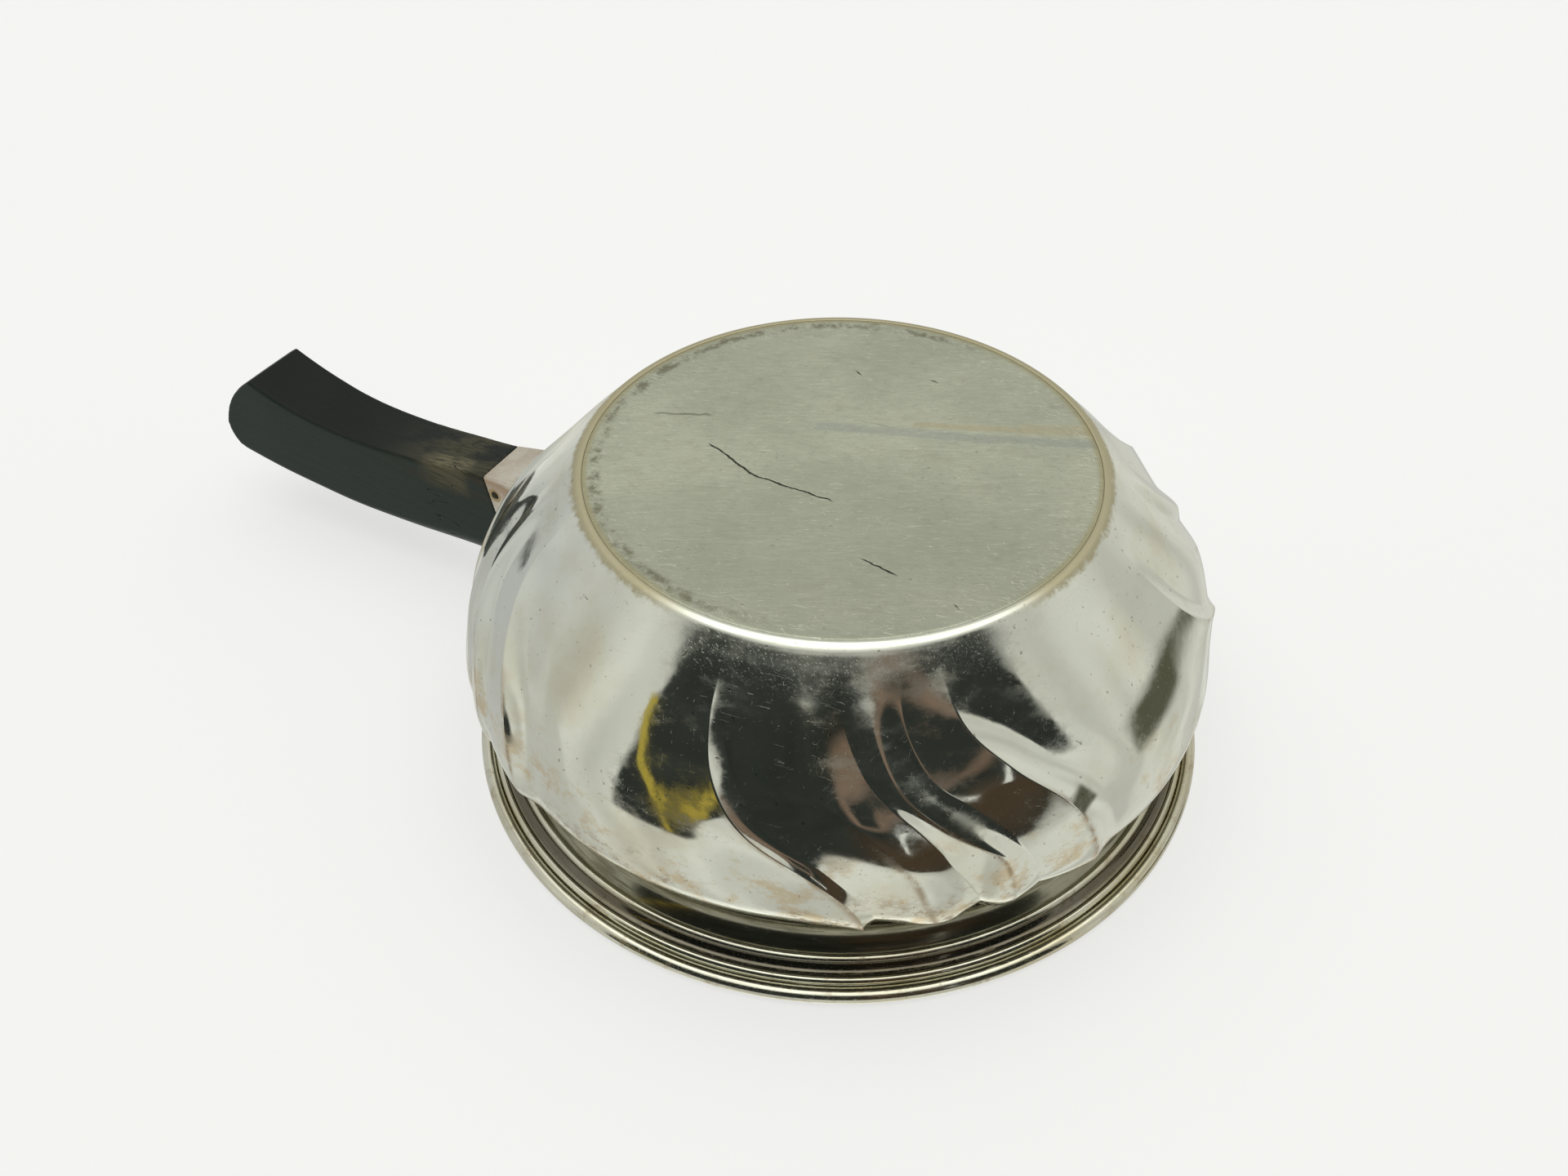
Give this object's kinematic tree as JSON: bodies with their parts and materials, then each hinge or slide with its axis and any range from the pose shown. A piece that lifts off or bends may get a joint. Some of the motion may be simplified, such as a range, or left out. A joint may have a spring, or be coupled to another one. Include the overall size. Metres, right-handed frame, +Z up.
{
  "type": "sauce boat",
  "caption": "Round fluted silver sauce boat with a drawn-in neck, a moulded and wired rim, a soldered base and a black wooden side handle in a silver socket.",
  "frame": {"origin": "centre of the flat base plate, on the surface that the vessel stands on", "axes": "+Z up out of the bowl's mouth, -X along the handle, +Y to the side; the picture shows the vessel turned over, resting on its rim"},
  "size_m": [0.2041, 0.13, 0.0567],
  "materials": {
    "polished_silver": "mirror-polished silver with fine scratches and brown tarnish in the creases",
    "neck_silver": "polished silver, darkened olive by tarnish in the hollow of the neck",
    "rim_silver": "polished silver, brown tarnish in the cove and grooves",
    "worn_base_silver": "worn satin silver with many scratches",
    "socket_silver": "polished silver with brown solder stain along its edges",
    "black_wood": "ebonised wood, satin, worn to olive brown beside the socket"
  },
  "bodies": {
    "root": {"fluted_bowl": "polished_silver", "neck_ring": "neck_silver", "rim_moulding": "rim_silver", "rim_wire": "rim_silver", "base_plate": "worn_base_silver", "handle_socket": "socket_silver", "wooden_handle": "black_wood", "handle_pin": "socket_silver"}
  },
  "joints": []
}
